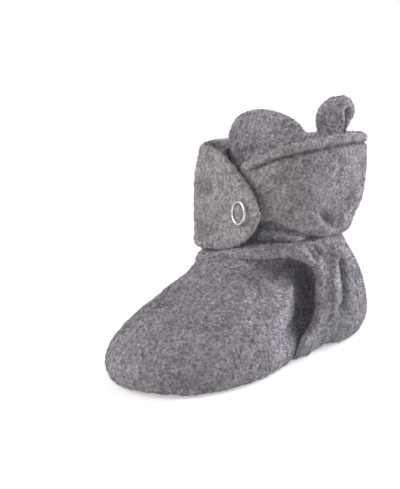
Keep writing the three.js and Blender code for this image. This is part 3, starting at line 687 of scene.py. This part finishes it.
# Its edges along the spiral: turns from the toe, low edge, high edge, layers in from the outside.
wrapEdges = np.array([
    (0.020, 0.655, 0.930, 1.00), (0.045, 0.660, 0.945, 1.00), (0.070, 0.668, 0.963, 1.00),
    (0.100, 0.673, 0.983, 1.00), (0.130, 0.668, 1.000, 0.94), (0.160, 0.640, 1.012, 0.74),
    (0.190, 0.611, 1.020, 0.50), (0.220, 0.582, 1.024, 0.30), (0.250, 0.562, 1.028, 0.15),
    (0.290, 0.556, 1.026, 0.04), (0.320, 0.552, 1.022, 0.00), (0.360, 0.545, 1.012, 0.00),
    (0.400, 0.537, 1.005, 0.00), (0.500, 0.535, 0.995, 0.00), (0.600, 0.535, 0.988, 0.00),
    (0.700, 0.535, 0.995, 0.00), (0.800, 0.532, 1.005, 0.00), (0.880, 0.525, 1.007, 0.00),
    (0.930, 0.525, 1.002, 0.00), (0.968, 0.530, 0.985, 0.00), (1.012, 0.537, 0.930, -0.02),
    (1.046, 0.557, 0.878, -0.12), (1.075, 0.593, 0.823, -0.32), (1.092, 0.637, 0.762, -0.48),
    (1.099, 0.680, 0.720, -0.54),
])
wrap = {
    "rows": 300, "columns": 66, "crowd": 1.35, "thickness": 3.8, "clearance": 0.7, "edgeRadius": 2.4,
    # The first value on the next line is the fold depth at which the painted shade is darkest.
    "foldShadeAt": 7, "innerPile": 0.5,
    # In the hem, the value after the puff is the groove depth at which the painted shade is darkest.
    "hem": {"below": 4.0, "width": 0.8, "depth": 1.4, "puff": 0.4, "grooveShadeAt": 3.2, "edge": 1.5,
            "from": 0.03, "to": 0.86, "fade": 0.04},
    "folds": [
        {"path": [(-0.105, 0.427, 0.697), (-0.140, 0.423, 0.666), (-0.181, 0.416, 0.625),
                  (-0.225, 0.397, 0.584)], "width": 2.4, "height": -3.0, "fade": 0.5},
        {"path": [(-0.053, 0.419, 0.680), (-0.105, 0.419, 0.640), (-0.161, 0.409, 0.597),
                  (-0.216, 0.394, 0.572)], "width": 2.8, "height": 1.8, "fade": 0.4},
        {"path": [(-0.262, 0.424, 0.77), (-0.268, 0.421, 0.725), (-0.275, 0.412, 0.684),
                  (-0.280, 0.395, 0.62)], "width": 3.4, "height": -2.0, "fade": 0.5},
        {"path": [(-0.238, 0.421, 0.70), (-0.243, 0.410, 0.65), (-0.250, 0.388, 0.591)],
         "width": 1.8, "height": 1.0},
        {"path": [(0.04, -0.33, 0.82), (0.070, -0.237, 0.816), (0.077, -0.166, 0.812),
                  (0.079, -0.072, 0.812)], "width": 3.2, "height": -2.2},
        {"path": [(0.06, -0.33, 0.605), (0.092, -0.216, 0.613), (0.098, -0.139, 0.616),
                  (0.098, -0.056, 0.628)], "width": 2.8, "height": -2.4},
        {"path": [(-0.05, 0.44, 0.90), (-0.12, 0.45, 0.84), (-0.20, 0.45, 0.80)],
         "width": 6, "height": 0.9},
    ],
}


def wrapPoint(angle, z):
    backX, frontX, half, frontPower, backPower = np.moveaxis(
        alongTable(wrapSections, z / shoe["height"]), -1, 0)[1:]
    ahead, across = ovalPoint(angle, frontPower, backPower)
    power = np.where(ahead >= 0, frontPower, backPower)
    halfLength = (frontX - backX) / 2 * shoe["length"]
    halfWidth = half * shoe["width"]
    x = (frontX + backX) / 2 * shoe["length"] + halfLength * ahead
    point = np.stack([x, halfWidth * across, z], -1)

    def lean(share):
        return np.sign(share) * np.abs(share) ** (power - 1)

    normal = unit(np.stack([lean(ahead) / halfLength, lean(across) / halfWidth, np.zeros_like(x)], -1))
    return point, normal


def makeWrap(settings):
    first, last = wrapEdges[0, 0], wrapEdges[-1, 0]
    spread = np.linspace(0, 1, settings["rows"])
    at = first + (last - first) * (1 - (1 - spread) ** settings["crowd"])   # closer rows on the flap
    low, high, inward = np.moveaxis(alongTable(wrapEdges, at), -1, 0)[1:]
    low, high = low * shoe["height"], high * shoe["height"]
    z = low[:, None] + (high - low)[:, None] * crowdedEnds(settings["columns"])
    angle = np.repeat(at[:, None] * turn, settings["columns"], axis=1)
    point, normal = wrapPoint(angle, z)
    middle = inward * (settings["thickness"] + settings["clearance"]) + settings["thickness"] / 2
    point = point - normal * middle[:, None, None]
    distance = borderDistance(point)
    half = settings["thickness"] / 2 * edgeRound(distance, settings["edgeRadius"])
    hem = settings["hem"]
    below = high[:, None] - z
    onHem = ease(at, hem["from"], hem["from"] + hem["fade"])
    onHem = onHem * (1 - ease(at, hem["to"], hem["to"] + hem["fade"]))
    groove = hem["puff"] * (1 - ease(below, hem["below"] - 1, hem["below"]))
    groove = groove - hem["depth"] * np.exp(-((below - hem["below"]) / hem["width"]) ** 2)
    groove = groove * onHem[:, None]
    folds = foldLift(point + normal * half[..., None], settings["folds"])
    # Painted shade in the wrap's folds and in its hem groove.
    sunk = np.clip(paintedShadeShare(folds, settings["foldShadeAt"]) + paintedShadeShare(groove, hem["grooveShadeAt"]), 0, 1)
    extra = groove * ease(distance, 0, hem["edge"]) + (folds + nap(point, 3)) * ease(distance, 0, edgeFree)
    outer = point + normal * (half + extra)[..., None]
    inner = point - normal * half[..., None]
    vertices, faces, layers = sheetSolid(outer, inner, np.zeros(settings["rows"], bool), sunk,
                                         settings["innerPile"])
    return vertices, [face[::-1] for face in faces], layers   # its rows run round, not up


ankleWrap = meshPiece("wrapCloth", *makeWrap(wrap), cloths["flap"], "ankle_wrap", "fleece_grey")
growPile("wrapPile", ankleWrap, cloths["flapPile"], 0.85, 3)
print("ankle wrap made")

# tongue: x, z of the middle and half width across
tongueSections = np.array([
    (-0.029, 0.581, 0.206), (-0.036, 0.637, 0.246), (-0.054, 0.762, 0.284), (-0.075, 0.875, 0.303),
    (-0.092, 0.963, 0.312), (-0.102, 1.030, 0.325), (-0.108, 1.085, 0.276), (-0.112, 1.126, 0.200),
    (-0.114, 1.149, 0.106), (-0.1145, 1.156, 0.03),
])
tongue = {
    "rows": 80, "columns": 70, "crowd": 1.6, "halfThickness": 3.4, "puffReach": 11, "puffPower": 0.8,
    "bend": 100, "lean": -1.0, "leanFrom": 0.94, "leanTo": 1.06, "innerPile": 0.7,
    "folds": [
        {"path": [(-0.05, -0.30, 0.99), (-0.05, -0.17, 0.955), (-0.05, -0.05, 0.965), (-0.06, 0.06, 1.0)],
         "width": 2.3, "height": -2.6},
        {"path": [(-0.04, -0.18, 0.90), (-0.04, -0.02, 0.91), (-0.05, 0.10, 0.95)],
         "width": 2.8, "height": 1.4},
    ],
}


def makeTongue(settings):
    rowValues = 1 - (1 - np.linspace(0, 1, settings["rows"])) ** settings["crowd"]
    x, z, half = np.moveaxis(blendTable(tongueSections, rowValues * (len(tongueSections) - 1)), -1, 0)
    across = np.sin(np.linspace(-math.pi / 2, math.pi / 2, settings["columns"]))
    y = half[:, None] * shoe["width"] * across
    lean = settings["lean"] * ease(z, settings["leanFrom"], settings["leanTo"])[:, None]
    point = np.stack([x[:, None] * shoe["length"] - y ** 2 / settings["bend"], y + lean,
                      np.repeat(z[:, None] * shoe["height"], settings["columns"], axis=1)], -1)
    distance = borderDistance(point)
    puff = settings["halfThickness"] * edgeRound(distance, settings["puffReach"]) ** settings["puffPower"]
    forward = np.array([1.0, 0, 0])
    folds = foldLift(point + forward * puff[..., None], settings["folds"])
    extra = (folds + nap(point, 4)) * ease(distance, 0, edgeFree)
    outer = point + forward * (puff + extra)[..., None]
    inner = point - forward * puff[..., None]
    # Painted shade in the tongue's folds.
    return sheetSolid(outer, inner, np.zeros(settings["rows"], bool), paintedShadeShare(folds),
                      settings["innerPile"])


tonguePad = meshPiece("tonguePad", *makeTongue(tongue), cloths["fleece"], "tongue", "fleece_grey")
growPile("tonguePile", tonguePad, cloths["pile"], seed=4)
print("tongue made")

# pull loop: a padded strip folded over. Across the strip: y and the head's height, as shares
loop = {
    "width": 13.8, "height": 13.4, "thickness": 4.5, "hole": 0.85, "slit": 0.1, "baseZ": 80.5,
    "middleX": -51.5, "middleY": 2.0, "lean": -0.7, "alongStrip": 120, "acrossStrip": 50, "edgeRadius": 2.4,
    "pinch": 0.42, "pinchForward": 2.0, "pinchTo": 6.0, "coarseNap": 0.2, "fineNap": 0.15,
    "foot": [(-0.3, -3.0), (-0.2, -1.0)], "neck": [(0.0, -3.6), (0.3, -2.0)],   # outwards, up
}
loopHeads = np.array([
    (-0.5, 0.56), (-0.40, 0.76), (-0.24, 0.91), (0.0, 0.99), (0.25, 1.01), (0.40, 0.98), (0.5, 0.93)])


# The strip's middle line seen from the side: up one leg, over the bend and down the other leg.
def loopLine(settings, headShare):
    halfThick = settings["thickness"] / 2
    bend, leg = halfThick + settings["hole"], halfThick + settings["slit"]
    headZ = settings["height"] * headShare - bend - halfThick
    right = [(leg + outwards, z) for outwards, z in settings["foot"]]
    right += [(leg + outwards, headZ + z) for outwards, z in settings["neck"]]
    arc = [(bend * math.cos(a), headZ + bend * math.sin(a)) for a in np.linspace(0, math.pi, 9)]
    line = np.array(right + arc + [(-u, v) for u, v in right[::-1]])
    return blendTable(line, np.linspace(0, 1, settings["alongStrip"]) * (len(line) - 1))


def makeLoop(settings):
    station = crowdedEnds(settings["acrossStrip"]) * (len(loopHeads) - 1)
    points, normals, pinches = [], [], []
    for share, headShare in blendTable(loopHeads, station):
        line = loopLine(settings, headShare)
        tangent = unit(np.gradient(line, axis=0))
        free = ease(line[:, 1], 0, settings["pinchTo"])
        squeeze = settings["pinch"] + (1 - settings["pinch"]) * free
        x = settings["middleX"] + line[:, 0] * squeeze + settings["pinchForward"] * (1 - free)
        x = x + settings["lean"] * ease(line[:, 1], 0, settings["height"])
        y = np.full(len(x), settings["middleY"] + share * settings["width"])
        pinches.append(squeeze)
        points.append(np.column_stack([x, y, settings["baseZ"] + line[:, 1]]))
        normals.append(np.column_stack([tangent[:, 1], np.zeros(len(x)), -tangent[:, 0]]))
    points, normals = np.array(points).transpose(1, 0, 2), np.array(normals).transpose(1, 0, 2)
    distance = np.minimum(pathDistance(points, points[:, 0])[0], pathDistance(points, points[:, -1])[0])
    half = settings["thickness"] / 2 * edgeRound(distance, settings["edgeRadius"]) * np.array(pinches).T
    extra = nap(points, 5, settings["coarseNap"], settings["fineNap"]) * ease(distance, 0, 2)
    outer = points + normals * (half + extra)[..., None]
    inner = points - normals * half[..., None]
    return sheetSolid(outer, inner, np.zeros(len(points), bool), np.zeros(points.shape[:2]))


pullLoop = meshPiece("pullLoop", *makeLoop(loop), cloths["fleece"], "pull_loop", "fleece_grey")
growPile("loopPile", pullLoop, cloths["pile"], 0.8, 5)
print("pull loop made")

# sole and insole: rings from the middle of the underside out to the rim and back over the top
sole = {"row": 0, "inset": shoe["wall"] + shoe["gap"], "base": 0.25, "thickness": 3.15, "rounding": 1.2,
        "bumps": 0.05}
insole = {"row": 0.5, "inset": shoe["wall"] + 2 * shoe["gap"],
          "base": sole["base"] + sole["thickness"] + 2 * shoe["gap"], "thickness": 2.0, "rounding": 0.4,
          "bumps": 0.12}
plate = {"middle": (-2.0, 0.0), "columns": 200, "rings": 26, "roundFrom": 0.86, "bumpSize": 1.4, "seed": 6}


def makePlate(settings):
    columns, rings = plate["columns"], plate["rings"]
    angle = np.linspace(0, turn, columns, endpoint=False)
    row = np.full(angle.shape, float(settings["row"]))
    rim = upperCloth(row, angle, -settings["inset"], foot, False)[:, :2]
    middle = np.array(plate["middle"])
    rows = []
    for side, shareValues in ((-1, np.linspace(0, 1, rings)), (1, np.linspace(1, 0, rings))):
        for share in shareValues:
            place = middle + (rim - middle) * math.sin(share * math.pi / 2)
            over = max(0, share - plate["roundFrom"]) / (1 - plate["roundFrom"])
            rounded = settings["rounding"] * (1 - math.sqrt(1 - over ** 2))
            height = settings["base"] + (settings["thickness"] if side > 0 else rounded)
            ring = np.column_stack([place, soleLift(place[:, 0]) + height])
            ring[:, 2] += side * settings["bumps"] * softNoise(ring, plate["bumpSize"], plate["seed"])
            rows.append(ring)
    vertices = [vertex for ring in rows[1:-1] for vertex in ring] + [rows[0].mean(0), rows[-1].mean(0)]
    first, last, top = len(vertices) - 2, len(vertices) - 1, (len(rows) - 3) * columns
    faces = []
    for column in range(columns):
        after = (column + 1) % columns
        for start in range(0, top, columns):
            a, b = start + column, start + after
            faces.append([a, b, b + columns, a + columns])
        faces += [[first, after, column], [last, top + column, top + after]]
    return vertices, faces, {}


meshPiece("soleCloth", *makePlate(sole), cloths["sole"], "sole", "fleece_charcoal")
meshPiece("insoleCloth", *makePlate(insole), cloths["fleece"], "insole", "fleece_grey")
print("sole and insole made")

# ring fastener on the flap
ring = {"diameter": 9.2, "wire": 0.5, "at": 1.059, "z": 0.718, "lift": 0.35, "tiltDegrees": 7,
        "around": 96, "aroundWire": 16}


def flapPoint(at, z):
    point, normal = wrapPoint(np.array(at * turn), np.array(z))
    inward = np.interp(at, wrapEdges[:, 0], wrapEdges[:, 3]) * (wrap["thickness"] + wrap["clearance"])
    return point - normal * inward


def makeRing(settings):
    at, z, wire = settings["at"], settings["z"] * shoe["height"], settings["wire"]
    turnStep = 0.012
    side = unit(flapPoint(at + turnStep, z) - flapPoint(at - turnStep, z))
    rise = unit(flapPoint(at, z + 1) - flapPoint(at, z - 1))
    normal = unit(np.cross(side, rise))
    side = unit(np.cross(rise, normal))
    tilt = math.radians(settings["tiltDegrees"])
    side, normal = (side * math.cos(tilt) + normal * math.sin(tilt),
                    normal * math.cos(tilt) - side * math.sin(tilt))
    seat = flapPoint(at, z) + normal * (wire + settings["lift"])
    middle = settings["diameter"] / 2 - wire
    big, small = settings["around"], settings["aroundWire"]
    vertices, faces = [], []
    for i in range(big):
        a = turn * i / big
        outward = side * math.cos(a) + rise * math.sin(a)
        for j in range(small):
            b = turn * j / small
            vertices.append(seat + outward * (middle + wire * math.cos(b)) + normal * wire * math.sin(b))
            here, ahead, after = i * small, (i + 1) % big * small, (j + 1) % small
            faces.append([here + j, ahead + j, ahead + after, here + after])
    return vertices, faces, {}


meshPiece("snapRing", *makeRing(ring), cloths["ring"], "snap_ring", "ring_metal")
for name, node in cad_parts.items():
    if name.startswith("grip_"):
        node.data.materials.clear()
        node.data.materials.append(cloths["print"])
print("ring and grip prints made")

# floor and light: both look white to the camera and light the shoe less than that
studio = {"floor": 6000, "floorGlow": 0.5, "world": 0.37, "spread": 40}
reach = studio["floor"] * toMetres
floorMesh = bpy.data.meshes.new("floor")
floorMesh.from_pydata([(-reach, -reach, 0), (reach, -reach, 0), (reach, reach, 0), (-reach, reach, 0)], [],
                      [(0, 1, 2, 3)])
floorTree = cloths["floor"].node_tree
floorShader = floorTree.nodes["Principled BSDF"]
floorShader.inputs["Emission Color"].default_value = (1, 1, 1, 1)
floorSeen = addNode(floorTree, "ShaderNodeLightPath").outputs["Is Camera Ray"]
floorGlow = addNode(floorTree, "ShaderNodeMath", {0: floorSeen, 1: studio["floorGlow"]},
                    operation="MULTIPLY")
floorTree.links.new(floorGlow.outputs[0], floorShader.inputs["Emission Strength"])
floorMesh.materials.append(cloths["floor"])
floor = addObject("floor", floorMesh)

world = bpy.data.worlds.new("studio")
world.use_nodes = True
sky = world.node_tree.nodes["Background"]
sky.inputs["Color"].default_value = (1, 1, 1, 1)
skySeen = addNode(world.node_tree, "ShaderNodeLightPath").outputs["Is Camera Ray"]
strength = addNode(world.node_tree, "ShaderNodeMapRange", {
    "Value": skySeen, "To Min": studio["world"], "To Max": 1.0})
world.node_tree.links.new(strength.outputs["Result"], sky.inputs["Strength"])
bpy.context.scene.world = world
bpy.context.scene.view_settings.view_transform = "Standard"

camera = {
    "right": (-0.7550, 0.6521, -0.0683), "up": (-0.1835, -0.1101, 0.9768), "back": (0.6294, 0.7501, 0.2028),
    "target": (7.52, -17.63, 41.86), "away": 400, "focalPixels": 1024, "pictureHeight": 489,
    "sensor": 36, "clip": (0.01, 50),
}
right, up, back = (Vector(camera[key]).normalized() for key in ("right", "up", "back"))
target = Vector(camera["target"]) * toMetres

# Lamps by their way from the shoe as the camera sees it: to the right, up, and towards the camera.
lamps = {
    "key": {"right": -0.95, "up": 0.5, "towards": 0.15, "power": 2.3, "tint": (1.0, 0.965, 0.94)},
    "rim": {"right": 1.0, "up": 0.42, "towards": -0.34, "power": 5.2, "tint": (0.95, 0.95, 1.0)},
}
for name, settings in lamps.items():
    lamp = bpy.data.lights.new(name, "SUN")
    lamp.energy, lamp.angle, lamp.color = settings["power"], math.radians(studio["spread"]), settings["tint"]
    way = right * settings["right"] + Vector((0, 0, settings["up"])) + back * settings["towards"]
    holder = addObject(name, lamp)
    holder.location = target + way
    holder.rotation_mode = "QUATERNION"
    holder.rotation_quaternion = (-way).to_track_quat("-Z", "Y")

eye = bpy.data.cameras.new("camera")
eye.sensor_width = camera["sensor"]
eye.lens = camera["focalPixels"] * eye.sensor_width / camera["pictureHeight"]
eye.clip_start, eye.clip_end = camera["clip"]
holder = addObject("camera", eye)
place = target + back * camera["away"] * toMetres
holder.matrix_world = Matrix([(right[i], up[i], back[i], place[i]) for i in range(3)] + [(0, 0, 0, 1)])
bpy.context.scene.camera = holder
print("floor, light and camera set")
